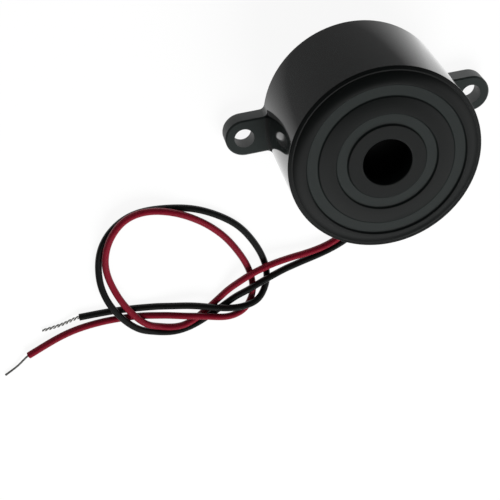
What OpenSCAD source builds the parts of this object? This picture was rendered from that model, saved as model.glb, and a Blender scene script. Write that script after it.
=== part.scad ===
// Self-driving piezo buzzer: a moulded round housing with two fixing ears, a stepped
// sound face, a piezo disc with its driver board inside, and two loose leads.
// The back of the housing lies on z = 0, the sound port faces +Z, the ears lie along X.

/* [Housing] */
// Outside diameter of the round body
body_d = 32; // [29:0.5:45]
// Height from the back to the middle of the sound face
body_h = 20.7; // [19.7:0.1:30]
// Thickness of the side wall
wall_t = 2; // [1.4:0.1:2.6]
// Thickness of the sound face at its middle
face_t = 2.2; // [1.8:0.1:2.8]
// Width of the round shoulder between the sound face and the side wall
shoulder_w = 2.6; // [1.4:0.1:2.7]
// Drop from the sound face to the top of the side wall
shoulder_h = 1.35; // [1.1:0.05:2]
// Width of the sloped rim outside the shoulder
rim_w = 0.75; // [0.5:0.05:0.9]
// Step from the rim up to the shoulder
rim_step = 0.1; // [0.05:0.05:0.3]
// Rounding of the outer edge of the rim
rim_round = 0.2; // [0.1:0.05:0.4]

/* [Sound face] */
// Diameter of the sound port
port_d = 8; // [4:0.5:10]
// Flat between the port and the inner channel
port_land = 2.5; // [1.5:0.05:3]
// Width of the inner channel
inner_channel_w = 1.85; // [0.8:0.05:2]
// Distance from the side of the body to the outer channel
outer_land = 2.85; // [2.85:0.05:3.6]
// Width of the outer channel
outer_channel_w = 1.9; // [0.8:0.1:2]
// Depth of both channels
channel_depth = 0.35; // [0.1:0.05:0.6]
// How much lower the face lies outside the outer channel than at its middle
face_fall = 0.15; // [0:0.05:0.4]
// Fall of the land between the channels from its inner to its outer edge
land_fall = 0.3; // [0:0.05:0.45]
// Rounding of the edges of the channels and the port
edge_round = 0.12; // [0.05:0.01:0.2]

/* [Ears] */
// Distance from the side of the body to a fixing hole
ear_reach = 4; // [3:0.5:8]
// Width of an ear, which is also its round end
ear_w = 6.5; // [5:0.5:9]
// Thickness of an ear
ear_t = 3.2; // [2:0.1:4]
// Diameter of a fixing hole
ear_hole_d = 3.4; // [2.4:0.1:4.4]
// Chamfer round the top of an ear
ear_chamfer = 0.25; // [0.1:0.05:0.5]
// Fillet where an ear meets the wall
ear_fillet = 1; // [0.4:0.1:1.5]

/* [Back cover] */
// Thickness of the back cover
cover_t = 1.5; // [1:0.1:2]
// Depth of the cover below the back edge of the housing
cover_recess = 0.3; // [0:0.1:0.6]
// Width of the step that the cover seats on
cover_step = 0.8; // [0.5:0.1:1]
// Gap round the cover
cover_gap = 0.1; // [0.05:0.05:0.2]
// Diameter of the posts that press the board against its ribs
post_d = 2.4; // [1.6:0.1:3]

/* [Sound element] */
// Depth of the sound chamber in front of the disc
chamber_h = 3.5; // [2:0.25:5]
// Width of the ledge that the disc is glued to
ledge_w = 1.6; // [1:0.1:2]
// Thickness of the glue under the disc
glue_t = 0.3; // [0.1:0.05:0.5]
// Gap round the brass disc
disc_gap = 0.5; // [0.2:0.1:1]
// Thickness of the brass disc
brass_t = 0.3; // [0.2:0.05:0.4]
// Diameter of the ceramic
ceramic_d = 20; // [14:0.5:22]
// Thickness of the ceramic
ceramic_t = 0.25; // [0.15:0.05:0.35]
// Thickness of the fired silver electrodes
electrode_t = 0.1; // [0.05:0.05:0.15]
// Width of the feedback electrode
feedback_w = 3.4; // [2.6:0.1:4]
// Bare ceramic round the electrodes
electrode_margin = 0.7; // [0.4:0.1:1]

/* [Driver board] */
// Thickness of the board
board_t = 1.2; // [0.8:0.2:1.6]
// Space between the cover and the board
under_board = 2; // [1.8:0.1:3]
// Gap round the board
board_gap = 0.2; // [0.1:0.05:0.4]
// Depth of the ribs that the board stops against
rib_depth = 1.1; // [0.8:0.1:1.5]
// Width of those ribs
rib_w = 1.8; // [1.2:0.1:2.4]
// How much wider the drilled holes are than the thickest wire
drill_gap = 0.1; // [0.05:0.05:0.3]
// Diameter of the solder pads
pad_d = 2; // [1.6:0.1:2.2]
// Width of the copper tracks
track_w = 0.9; // [0.5:0.1:1.2]
// Thickness of the copper
copper_t = 0.1; // [0.05:0.05:0.15]
// Height of a solder joint
joint_h = 0.9; // [0.5:0.1:1]

/* [Components] */
// Diameter of the choke's flanges
choke_d = 8; // [6:0.5:9]
// Height of the choke
choke_h = 6; // [4:0.5:6.5]
// Diameter of the transistor's round side
transistor_d = 4.6; // [4:0.1:5]
// Height of the transistor's body
transistor_h = 4.6; // [4:0.1:5]
// Length of the resistor and diode bodies
axial_l = 3.6; // [3:0.1:4.4]
// Diameter of the resistor and diode bodies
axial_d = 1.9; // [1.6:0.1:2.2]
// Diameter of the component wires
pin_d = 0.5; // [0.4:0.05:0.6]
// Diameter of the link wires to the disc
link_d = 0.8; // [0.6:0.05:0.85]

/* [Leads] */
// Outside diameter of a lead
lead_d = 1.25; // [0.9:0.05:1.5]
// Distance between the two leads where they leave the housing
lead_pitch = 2; // [1.6:0.1:2.4]
// Gap beside and over the leads in their notch
notch_gap = 0.35; // [0.1:0.05:0.6]
// Diameter of the tinned conductor at the stripped ends
strand_d = 0.5; // [0.3:0.05:0.6]

/* [Hidden] */

$fn = 64;
bond = 0.4;        // how far a moulded feature runs into the wall that carries it
cut = 1;           // how far a cut runs past the face it opens

// Housing
body_r = body_d / 2;
bore_r = body_r - wall_t;
hole_x = body_r + ear_reach;
side_h = body_h - shoulder_h;
chamber_top = body_h - face_t;
ledge_z = chamber_top - chamber_h;
chamber_r = bore_r - ledge_w;
cover_seat_r = bore_r + cover_step;
cover_top = cover_recess + cover_t;
inner_channel_r = port_d / 2 + port_land;
outer_channel_r = body_r - outer_land - outer_channel_w;
edge_slope = 0.1;  // width that a channel's or the port's edge takes up
rim_flat = 0.25;   // narrow flat at the foot of the rim's step

// Sound element, from the ledge down
brass_r = bore_r - disc_gap;
brass_z = ledge_z - glue_t - brass_t;
ceramic_z = brass_z - ceramic_t;
electrode_z = ceramic_z - electrode_t;
feedback_angle = 20;
feedback_from = 3.6;
feedback_end = ceramic_d / 2 - electrode_margin - feedback_w / 2;
dot_h = 0.5;       // solder dots on the disc
dot_r = 0.9;
dot_wall = 0.05;   // solder round a link wire at the tip of its dot
dot_inset = 0.6;   // from the end of the feedback electrode to its dot

// Board
board_z = cover_top + under_board;
board_top = board_z + board_t;
copper_z = board_z - copper_t;
drill_d = max(pin_d, link_d) + drill_gap;
joint_rim = 0.3;   // solder round a wire at the tip, and bare pad round the foot
rib_clear = 0.5;   // from the ribs to the solder dots on the disc
rib_top = electrode_z - dot_h - rib_clear;
rib_angles = [90, 210, 330];
post_place_r = bore_r - rib_depth - post_d / 2;
lead_z = cover_top + under_board / 2;
lead_solder_y = -10;
lead_joint_z = lead_z - lead_d / 2 + 0.1;  // the solder ends just over a lead's underside
notch_w = lead_pitch + lead_d + 2 * notch_gap;
notch_top = lead_z + lead_d / 2 + notch_gap;

// Where the components stand on the board
choke_at = [-5, 3.6];
choke_pin_r = 2.6;
choke_pin_angles = [90, 210, 330];
flange_t = 1.1;
core_r = 1.8;
winding_inset = 0.5;     // from the rim of the choke's flanges to its winding
transistor_at = [5.6, 6];
transistor_pitch = 2;    // of its holes in the board
middle_leg_y = 1;        // how far the middle leg's hole stands back
transistor_leg_gap = 1.3;  // between its legs where they leave the body
transistor_flat = 1.2;   // from its middle to its flat side
transistor_lift = 1.4;
leg_straight = 0.2;      // straight length of a leg at the body and over the board
axial_pitch = 7.5;
bend_r = 0.7;            // inside bend of an axial wire, to its middle line
resistor_at = [[4.6, 1.2], [4.6, -2.2]];
diode_at = [-5, -3.4];
link_holes = [[0, 9], [-2.4, -6.2], [9.4, 4.8]];
link_rise = 1.2;         // straight length of a link wire at both ends
disc_dots = [[0, (brass_r + ceramic_d / 2) / 2], [-3.5, -5],
             (feedback_end - dot_inset) * [cos(feedback_angle), sin(feedback_angle)]];
dot_tops = [brass_z, electrode_z, electrode_z];

choke_pins_at = [for (a = choke_pin_angles) choke_at + choke_pin_r * [cos(a), sin(a)]];
transistor_legs_at = [for (i = [-1, 0, 1])
    transistor_at + [i * transistor_pitch, i == 0 ? middle_leg_y : 0]];
function axial_holes(at) = [for (s = [-1, 1]) at + [s * axial_pitch / 2, 0]];
resistor_holes = [for (at = resistor_at) each axial_holes(at)];
diode_holes = axial_holes(diode_at);
pin_holes = concat(choke_pins_at, transistor_legs_at, resistor_holes, diode_holes);
lead_pads = [for (s = [-1, 1]) [s * lead_pitch / 2, lead_solder_y + dot_r]];
tracks = [[choke_pins_at[0], link_holes[0]], [choke_pins_at[1], diode_holes[0]],
          [choke_pins_at[2], resistor_holes[0]], [diode_holes[1], link_holes[1]],
          [diode_holes[1], resistor_holes[2]], [resistor_holes[1], transistor_legs_at[2]],
          [resistor_holes[3], [7.5, -6.5]], [[7.5, -6.5], lead_pads[1]],
          [transistor_legs_at[0], resistor_holes[0]], [lead_pads[0], [-5.5, -7.5]],
          [[-5.5, -7.5], diode_holes[0]], [transistor_legs_at[2], link_holes[2]]];

// Route of each lead's middle line: straight out of the notch, down to the surface, and
// through one loose overhand knot, in which one lead rests on the other where they cross.
red_route = [[-1, -10, 2.8], [-1, -17, 2.8], [-1.5, -20, 1.8], [-3, -23, 1.3],
    [-5.5, -25, 1.1], [-9, -26, 1.2], [-13, -26.5, 1.5], [-17, -26.5, 2],
    [-20.5, -27.5, 2.1], [-24, -29, 1.8], [-27, -31.5, 0.9], [-31, -34.5, 0.7],
    [-35.5, -36.5, 1.3], [-40, -36, 1], [-42.5, -34, 1.9], [-44.5, -31, 2.1],
    [-46, -28, 2], [-47, -24.5, 1.7], [-47.5, -20.5, 1.6], [-46.5, -17, 1.8],
    [-45, -14, 2.1], [-42, -11.5, 2], [-38, -11, 2], [-34.5, -12, 2],
    [-31, -14, 1.7], [-28, -17, 1], [-25.5, -20, 0.7], [-23.5, -24, 0.7],
    [-22, -28, 0.7], [-22, -31.5, 0.7], [-22.5, -34.5, 0.7], [-25, -36.5, 1.3],
    [-28, -36, 2], [-31.5, -35, 2.1], [-35, -34, 2.1], [-39, -33.5, 1.3],
    [-43, -33, 0.7], [-48, -32.5, 0.7], [-56, -33.2, 0.7], [-64.5, -36.5, 0.7]];
black_route = [[1, -10, 2.8], [1, -17, 2.8], [0.5, -20.5, 1.7], [-1, -23.5, 0.8],
    [-3.5, -25.5, 0.7], [-7, -27, 0.7], [-11, -28, 0.9], [-15, -28.5, 1.5],
    [-19, -29.5, 2.1], [-22.5, -31, 2], [-25.5, -33, 1], [-29, -35, 0.7],
    [-33, -37, 0.7], [-37, -38, 0.7], [-41, -37, 0.8], [-44, -35, 1.7],
    [-46.5, -31.5, 2.1], [-48, -28.5, 2], [-49, -24.5, 1.3], [-48.5, -20.5, 0.7],
    [-47.5, -17, 0.7], [-45.5, -14.5, 0.7], [-42, -12, 0.7], [-38, -11.5, 0.7],
    [-34, -12, 0.7], [-30, -13, 0.7], [-26, -15.5, 0.7], [-23, -18, 0.7],
    [-21, -21.5, 0.7], [-19.5, -25, 0.7], [-19, -29, 0.7], [-19.5, -32, 0.9],
    [-21.5, -34, 1.9], [-24.5, -34.5, 2.1], [-28.5, -34, 2.1], [-32, -32.5, 2],
    [-36, -32, 1.5], [-40, -31.5, 0.9], [-47, -30.7, 0.7], [-54, -30.5, 0.7]];
red_tip = [[-67, -38.5, 0.4], [-69.5, -40, 0.3]];
black_tip = [[-57.5, -31.5, 0.4], [-61, -32, 0.3]];
tip_start = 1;     // straight conductor just outside the insulation

// Sweep of a round section along a route, its ring turned as little as possible
function unit(v) = v / norm(v);
function heading(path, i) =
    unit(path[min(i + 1, len(path) - 1)] - path[max(i - 1, 0)]);
function across(v, t) = unit(v - t * (v * t));
function ring_sides(path, i, side) =
    i == len(path) ? [] :
    let (s = across(side, heading(path, i))) concat([s], ring_sides(path, i + 1, s));

module tube(path, d, n = 8) {
    first = abs(heading(path, 0).z) > 0.9 ? [1, 0, 0] : [0, 0, 1];
    sides = ring_sides(path, 0, first);
    rings = len(path);
    points = [for (i = [0 : rings - 1])
        let (s = sides[i], u = cross(heading(path, i), s))
        for (k = [0 : n - 1])
            path[i] + d / 2 * (cos(360 * k / n) * s + sin(360 * k / n) * u)];
    walls = [for (i = [0 : rings - 2]) for (k = [0 : n - 1])
        [i * n + k, (i + 1) * n + k, (i + 1) * n + (k + 1) % n, i * n + (k + 1) % n]];
    polyhedron(points, concat([[for (k = [0 : n - 1]) k]], walls,
        [[for (k = [0 : n - 1]) rings * n - 1 - k]]));
}

module ring(inner_r, outer_r, h) {
    difference() {
        cylinder(r = outer_r, h = h);
        translate([0, 0, -cut]) cylinder(r = inner_r, h = h + 2 * cut);
    }
}

// Rounds the inner corners of a line with short curves
function toward(a, b, d) = a + (b - a) * min(0.5, d / norm(b - a));
function softened(line, d) = [for (i = [0 : len(line) - 1])
    if (i == 0 || i == len(line) - 1) line[i]
    else let (a = toward(line[i], line[i - 1], d), b = toward(line[i], line[i + 1], d))
        for (t = [0 : 0.5 : 1]) (1 - t) * (1 - t) * a + 2 * t * (1 - t) * line[i] + t * t * b];

// The sound face from the outer land inwards: flat, channel, land that falls outwards
// like a shallow dome, channel, flat, port
function face_line() =
    let (low = body_h - face_fall, floor_z = body_h - channel_depth,
         outer_end = outer_channel_r + outer_channel_w, e = edge_slope / 2,
         from = outer_channel_r - e, to = inner_channel_r + inner_channel_w + e)
    concat([[body_r - shoulder_w, low], [outer_end + e, low],
            [outer_end - e, low - channel_depth], [from + edge_slope, low - channel_depth]],
        [for (t = [0 : 0.2 : 1])
            [from + t * (to - from), body_h - land_fall * pow(1 - t, 2)]],
        [[to - edge_slope, floor_z], [inner_channel_r + e, floor_z],
         [inner_channel_r - e, body_h], [port_d / 2 + edge_slope, body_h],
         [port_d / 2, body_h - edge_slope - edge_round],
         [port_d / 2 - bond, body_h - edge_slope - edge_round - bond]]);

// The edge of the face from the side wall inwards: rounded corner, slope, narrow flat,
// step, shoulder
function rim_line() =
    let (corner = [body_r - rim_round / 2, side_h + rim_round * sin(60)],
         flat_r = body_r - rim_w, low = body_h - face_fall, from = body_r - shoulder_w,
         flat_z = corner.y + (corner.x - flat_r - rim_flat) * tan(30),
         top = flat_z + rim_step)
    concat([for (a = [0 : 15 : 60])
            [body_r - rim_round * (1 - cos(a)), side_h + rim_round * sin(a)]],
        [[flat_r + rim_flat, flat_z], [flat_r, flat_z]],
        [for (t = [1 : -0.1 : 0.05])
            [from + t * (flat_r - 0.02 - from), low - (low - top) * t * t]]);

module body_outside() {
    cylinder(r = body_r, h = side_h);
    rotate_extrude() polygon(concat(
        [[port_d / 2 - bond, side_h - bond], [body_r, side_h - bond]],
        rim_line(), softened(face_line(), edge_round)));
}

// Blend between an ear's straight side and the round wall
module ear_root() {
    half = ear_w / 2;
    centre = [sqrt(pow(body_r + ear_fillet, 2) - pow(half + ear_fillet, 2)),
              half + ear_fillet];
    touch = centre * body_r / (body_r + ear_fillet);
    difference() {
        linear_extrude(ear_t - ear_chamfer)
            polygon([[bore_r + bond, half - bond], [centre.x, half - bond],
                     [centre.x, half], touch, [bore_r + bond, touch.y - bond]]);
        translate([centre.x, centre.y, -cut])
            cylinder(r = ear_fillet, h = ear_t + 2 * cut, $fn = 48);
    }
}

module ear() {
    half = ear_w / 2;
    low = ear_t - ear_chamfer;
    start = bore_r + bond;
    translate([hole_x, 0, 0]) {
        cylinder(d = ear_w, h = low);
        translate([0, 0, low])
            cylinder(r1 = half, r2 = half - ear_chamfer, h = ear_chamfer);
    }
    translate([start, 0, 0]) rotate([90, 0, 90]) linear_extrude(hole_x - start)
        polygon([[-half, 0], [half, 0], [half, low], [half - ear_chamfer, ear_t],
                 [ear_chamfer - half, ear_t], [-half, low]]);
    ear_root();
    mirror([0, 1, 0]) ear_root();
}

module housing() {
    color("#1b1c1c") {
        difference() {
            union() {
                body_outside();
                ear();
                mirror([1, 0, 0]) ear();
            }
            translate([0, 0, -cut]) cylinder(r = cover_seat_r, h = cover_top + cut);
            translate([0, 0, -cut]) cylinder(r = bore_r, h = ledge_z + cut);
            translate([0, 0, -cut]) cylinder(r = chamber_r, h = chamber_top + cut);
            translate([0, 0, -cut]) cylinder(d = port_d, h = body_h + 2 * cut);
            for (s = [-1, 1]) translate([s * hole_x, 0, -cut])
                cylinder(d = ear_hole_d, h = ear_t + 2 * cut);
            translate([-notch_w / 2, -body_r - cut, -cut])
                cube([notch_w, wall_t + 2 * cut, notch_top + cut]);
        }
        for (a = rib_angles) rotate(a)
            translate([bore_r - rib_depth, -rib_w / 2, board_top])
                cube([rib_depth + bond, rib_w, rib_top - board_top]);
    }
}

module back_cover() {
    color("#202121") translate([0, 0, cover_recess]) {
        cylinder(r = cover_seat_r - cover_gap, h = cover_t);
        for (a = rib_angles) rotate(a) translate([post_place_r, 0, cover_t - bond])
            cylinder(d = post_d, h = under_board + bond, $fn = 32);
    }
}

module brass_diaphragm() {
    color("#b9963f") translate([0, 0, brass_z]) cylinder(r = brass_r, h = brass_t);
}

module disc_adhesive() {
    color("#d9d9d2") translate([0, 0, ledge_z - glue_t])
        ring(chamber_r + glue_t, brass_r, glue_t);
}

module piezo_ceramic() {
    color("#d8cfae") translate([0, 0, ceramic_z])
        cylinder(d = ceramic_d, h = ceramic_t);
}

// Tongue-shaped area of the feedback electrode; grown, it is the gap cut round it,
// which runs out past the edge of the main electrode
module feedback_area(grow, h) {
    w = feedback_w + 2 * grow;
    past = grow > 0 ? w : 0;
    rotate(feedback_angle) {
        for (x = [feedback_from, feedback_end])
            translate([x, 0, 0]) cylinder(d = w, h = h);
        translate([feedback_from, -w / 2, 0])
            cube([feedback_end - feedback_from + past, w, h]);
    }
}

module main_electrode() {
    color("#c9cacb") translate([0, 0, electrode_z]) difference() {
        cylinder(d = ceramic_d - 2 * electrode_margin, h = electrode_t);
        translate([0, 0, -cut]) feedback_area(electrode_margin, electrode_t + 2 * cut);
    }
}

module feedback_electrode() {
    color("#bfc0c2") translate([0, 0, electrode_z]) feedback_area(0, electrode_t);
}

module disc_solder() {
    color("#b4b7ba") for (i = [0 : 2])
        translate([disc_dots[i].x, disc_dots[i].y, dot_tops[i] - dot_h])
            difference() {
                cylinder(r1 = link_d / 2 + dot_wall, r2 = dot_r, h = dot_h, $fn = 32);
                translate([0, 0, -cut])
                    cylinder(d = link_d, h = cut + dot_h / 2, $fn = 32);
            }
}

module driver_board() {
    color("#b98a4a") translate([0, 0, board_z]) difference() {
        cylinder(r = bore_r - board_gap, h = board_t);
        for (at = concat(pin_holes, link_holes)) translate([at.x, at.y, -cut])
            cylinder(d = drill_d, h = board_t + 2 * cut, $fn = 24);
    }
}

module track(from, to) {
    run = to - from;
    translate([from.x, from.y, 0]) rotate(atan2(run.y, run.x))
        translate([0, -track_w / 2, 0]) cube([norm(run), track_w, copper_t]);
}

module board_copper() {
    color("#b8702e") translate([0, 0, copper_z]) difference() {
        union() {
            for (at = concat(pin_holes, link_holes, lead_pads))
                translate([at.x, at.y, 0]) cylinder(d = pad_d, h = copper_t, $fn = 32);
            for (t = tracks) track(t[0], t[1]);
        }
        for (at = concat(pin_holes, link_holes)) translate([at.x, at.y, -cut])
            cylinder(d = drill_d, h = copper_t + 2 * cut, $fn = 24);
    }
}

// Cone of solder round a wire under the board
module solder_cone(at, wire_d) {
    translate([at.x, at.y, copper_z - joint_h]) difference() {
        cylinder(d1 = wire_d + joint_rim, d2 = pad_d - joint_rim, h = joint_h, $fn = 32);
        translate([0, 0, -cut]) cylinder(d = wire_d, h = joint_h + 2 * cut, $fn = 32);
    }
}

module solder_joints() {
    color("#b4b7ba") {
        for (at = pin_holes) solder_cone(at, pin_d);
        for (at = link_holes) solder_cone(at, link_d);
        for (at = lead_pads) translate([at.x, at.y, lead_joint_z])
            cylinder(r = dot_r, h = copper_z - lead_joint_z, $fn = 32);
    }
}

module choke_core() {
    color("#4a4a4c") translate([choke_at.x, choke_at.y, board_top]) {
        cylinder(d = choke_d, h = flange_t);
        cylinder(r = core_r, h = choke_h);
        translate([0, 0, choke_h - flange_t]) cylinder(d = choke_d, h = flange_t);
    }
}

module choke_winding() {
    color("#9c4a22") translate([choke_at.x, choke_at.y, board_top + flange_t])
        ring(core_r, choke_d / 2 - winding_inset, choke_h - 2 * flange_t);
}

// A straight wire from its piece down through the board and its solder joint
module down_pin(at, top, d) {
    translate([at.x, at.y, copper_z - joint_h])
        cylinder(d = d, h = top - copper_z + joint_h, $fn = 24);
}

module choke_pins() {
    color("#c7c9cc") for (at = choke_pins_at) down_pin(at, board_top, pin_d);
}

module transistor_body() {
    color("#1d1d1e") translate([transistor_at.x, transistor_at.y, board_top + transistor_lift])
        difference() {
            cylinder(d = transistor_d, h = transistor_h, $fn = 48);
            translate([-transistor_d, -transistor_d - transistor_flat, -cut])
                cube([2 * transistor_d, transistor_d, transistor_h + 2 * cut]);
        }
}

// The outer legs splay out below the body to reach the pitch of their holes
module transistor_legs() {
    top = board_top + transistor_lift;
    color("#c7c9cc") for (i = [-1, 0, 1]) {
        hole = transistor_legs_at[i + 1];
        root = transistor_at + [i * transistor_leg_gap, 0];
        tube([[hole.x, hole.y, copper_z - joint_h],
              [hole.x, hole.y, board_top + leg_straight / 2],
              [root.x, root.y, top - leg_straight], [root.x, root.y, top]], pin_d);
    }
}

module axial_body(at) {
    translate([at.x - axial_l / 2, at.y, board_top + axial_d / 2]) rotate([0, 90, 0])
        cylinder(d = axial_d, h = axial_l, $fn = 32);
}

// Both wires of an axial piece: straight out, a bend, and down through the board
module axial_leads(at) {
    z = board_top + axial_d / 2;
    for (s = [0, 1]) translate([at.x, at.y, 0]) mirror([s, 0, 0]) {
        translate([axial_l / 2, 0, z]) rotate([0, 90, 0])
            cylinder(d = pin_d, h = (axial_pitch - axial_l) / 2 - bend_r, $fn = 24);
        translate([axial_pitch / 2 - bend_r, 0, z - bend_r]) rotate([90, 0, 0])
            rotate_extrude(angle = 90, $fn = 48)
                translate([bend_r, 0]) circle(d = pin_d, $fn = 24);
        down_pin([axial_pitch / 2, 0], z - bend_r, pin_d);
    }
}

module resistor_bodies() {
    color("#c9b48a") for (at = resistor_at) axial_body(at);
}

module resistor_leads() {
    color("#c7c9cc") for (at = resistor_at) axial_leads(at);
}

module diode_body() {
    color("#b5622c") axial_body(diode_at);
}

module diode_leads() {
    color("#c7c9cc") axial_leads(diode_at);
}

// Insulated links from the board's holes up to the solder dots on the disc
module disc_link_wires() {
    color("#d8d4c8") for (i = [0 : 2]) {
        a = link_holes[i];
        b = disc_dots[i];
        top = dot_tops[i] - dot_h / 2;
        middle = (board_top + top) / 2;
        tube([[a.x, a.y, copper_z - joint_h], [a.x, a.y, board_top + link_rise],
              [(3 * a.x + b.x) / 4, (3 * a.y + b.y) / 4, middle - link_rise],
              [(a.x + 3 * b.x) / 4, (a.y + 3 * b.y) / 4, middle + link_rise],
              [b.x, b.y, top - link_rise], [b.x, b.y, top]], link_d);
    }
}

// Sealant that fills the notch round both leads
module lead_seal() {
    color("#262626") difference() {
        intersection() {
            translate([-notch_w / 2, -body_r, 0]) cube([notch_w, body_r, notch_top]);
            ring(cover_seat_r, body_r, notch_top);
        }
        for (s = [-1, 1]) translate([s * lead_pitch / 2, -bore_r + cut, lead_z])
            rotate([90, 0, 0]) cylinder(d = lead_d, h = wall_t + 2 * cut, $fn = 32);
    }
}

module red_lead() {
    color("#b01525") tube(red_route, lead_d);
}

module black_lead() {
    color("#1a1a1a") tube(black_route, lead_d);
}

module stripped_end(route, tip) {
    last = route[len(route) - 1];
    tube(concat([last, last + tip_start * heading(route, len(route) - 1)], tip), strand_d);
}

module red_lead_end() {
    color("#c9c6c0") stripped_end(red_route, red_tip);
}

module black_lead_end() {
    color("#c9c6c0") stripped_end(black_route, black_tip);
}

housing();
back_cover();
brass_diaphragm();
piezo_ceramic();
main_electrode();
feedback_electrode();
disc_adhesive();
disc_solder();
driver_board();
board_copper();
solder_joints();
choke_core();
choke_winding();
choke_pins();
transistor_body();
transistor_legs();
resistor_bodies();
resistor_leads();
diode_body();
diode_leads();
disc_link_wires();
lead_seal();
red_lead();
black_lead();
red_lead_end();
black_lead_end();
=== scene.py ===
import math

import bpy
import numpy as np
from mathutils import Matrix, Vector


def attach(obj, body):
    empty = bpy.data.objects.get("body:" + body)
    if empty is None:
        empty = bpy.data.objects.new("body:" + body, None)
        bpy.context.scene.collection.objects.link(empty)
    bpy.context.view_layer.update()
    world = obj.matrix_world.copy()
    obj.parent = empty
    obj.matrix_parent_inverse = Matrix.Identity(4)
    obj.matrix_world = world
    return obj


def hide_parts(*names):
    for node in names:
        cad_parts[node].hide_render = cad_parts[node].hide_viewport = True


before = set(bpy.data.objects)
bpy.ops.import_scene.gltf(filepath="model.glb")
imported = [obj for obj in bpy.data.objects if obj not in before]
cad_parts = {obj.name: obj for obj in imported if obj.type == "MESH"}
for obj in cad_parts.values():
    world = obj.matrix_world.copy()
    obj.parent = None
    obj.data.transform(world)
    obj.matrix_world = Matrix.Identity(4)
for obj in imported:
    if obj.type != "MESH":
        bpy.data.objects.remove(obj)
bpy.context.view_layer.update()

mm = 0.001


# ---------------------------------------------------------------------------
# Camera: high over the side away from the leads' exit. It looks steeply down on
# the sound face, with that side at the top and the leads running off below.
# ---------------------------------------------------------------------------
camera_data = bpy.data.cameras.new("camera")
camera_data.sensor_width = 36
camera_data.lens = 89.74
camera = bpy.data.objects.new("camera", camera_data)
camera.location = (-43.61 * mm, 97.04 * mm, 189.63 * mm)
camera.rotation_euler = [math.radians(a) for a in (-31.352, -10.932, -6.882)]
bpy.context.scene.collection.objects.link(camera)
bpy.context.scene.camera = camera


# ---------------------------------------------------------------------------
# Red and black leads: fine stranded hook-up wire in soft PVC insulation,
# soldered to the board, sealed into the notch at the back edge of the housing
# and tied together in one loose overhand knot. Each ends in a cut insulation.
# ---------------------------------------------------------------------------
lead_d = 1.25 * mm
lead_sides = 24
ring_step = 0.35 * mm
bend_rounds = 130
conductor_d = 0.5 * mm
cut_round = 0.08 * mm
cut_depth = 0.5 * mm
bore_slack = 0.04 * mm
bore_edge = 0.03 * mm
bore_step = 0.02 * mm
wrap_length = 10 * mm

red_route = [
    (-0.001, -0.010, 0.0028), (-0.001, -0.017, 0.0028), (-0.0015, -0.020, 0.0018),
    (-0.003, -0.023, 0.0013), (-0.0055, -0.025, 0.0011), (-0.009, -0.026, 0.0012),
    (-0.013, -0.0265, 0.0015), (-0.017, -0.0265, 0.002), (-0.0205, -0.0275, 0.0021),
    (-0.024, -0.029, 0.0018), (-0.027, -0.0315, 0.0009), (-0.031, -0.0345, 0.0007),
    (-0.0355, -0.0365, 0.0013), (-0.040, -0.036, 0.001), (-0.0425, -0.034, 0.0019),
    (-0.0445, -0.031, 0.0021), (-0.046, -0.028, 0.002), (-0.047, -0.0245, 0.0017),
    (-0.0475, -0.0205, 0.0016), (-0.0465, -0.017, 0.0018), (-0.045, -0.014, 0.0021),
    (-0.042, -0.0115, 0.002), (-0.038, -0.011, 0.002), (-0.0345, -0.012, 0.002),
    (-0.031, -0.014, 0.0017), (-0.028, -0.017, 0.001), (-0.0255, -0.020, 0.0007),
    (-0.0235, -0.024, 0.0007), (-0.022, -0.028, 0.0007), (-0.022, -0.0315, 0.0007),
    (-0.0225, -0.0345, 0.0007), (-0.025, -0.0365, 0.0013), (-0.028, -0.036, 0.002),
    (-0.0315, -0.035, 0.0021), (-0.035, -0.034, 0.0021), (-0.039, -0.0335, 0.0013),
    (-0.043, -0.033, 0.0007), (-0.048, -0.0325, 0.0007), (-0.056, -0.0332, 0.0007),
    (-0.0645, -0.0365, 0.0007)]
black_route = [
    (0.001, -0.010, 0.0028), (0.001, -0.017, 0.0028), (0.0005, -0.0205, 0.0017),
    (-0.001, -0.0235, 0.0008), (-0.0035, -0.0255, 0.0007), (-0.007, -0.027, 0.0007),
    (-0.011, -0.028, 0.0009), (-0.015, -0.0285, 0.0015), (-0.019, -0.0295, 0.0021),
    (-0.0225, -0.031, 0.002), (-0.0255, -0.033, 0.001), (-0.029, -0.035, 0.0007),
    (-0.033, -0.037, 0.0007), (-0.037, -0.038, 0.0007), (-0.041, -0.037, 0.0008),
    (-0.044, -0.035, 0.0017), (-0.0465, -0.0315, 0.0021), (-0.048, -0.0285, 0.002),
    (-0.049, -0.0245, 0.0013), (-0.0485, -0.0205, 0.0007), (-0.0475, -0.017, 0.0007),
    (-0.0455, -0.0145, 0.0007), (-0.042, -0.012, 0.0007), (-0.038, -0.0115, 0.0007),
    (-0.034, -0.012, 0.0007), (-0.030, -0.013, 0.0007), (-0.026, -0.0155, 0.0007),
    (-0.023, -0.018, 0.0007), (-0.021, -0.0215, 0.0007), (-0.0195, -0.025, 0.0007),
    (-0.019, -0.029, 0.0007), (-0.0195, -0.032, 0.0009), (-0.0215, -0.034, 0.0019),
    (-0.0245, -0.0345, 0.0021), (-0.0285, -0.034, 0.0021), (-0.032, -0.0325, 0.002),
    (-0.036, -0.032, 0.0015), (-0.040, -0.0315, 0.0009), (-0.047, -0.0307, 0.0007),
    (-0.054, -0.0305, 0.0007)]
red_tip = [(-0.067, -0.0385, 0.0004), (-0.0695, -0.040, 0.0003)]
black_tip = [(-0.0575, -0.0315, 0.0004), (-0.061, -0.032, 0.0003)]


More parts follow.
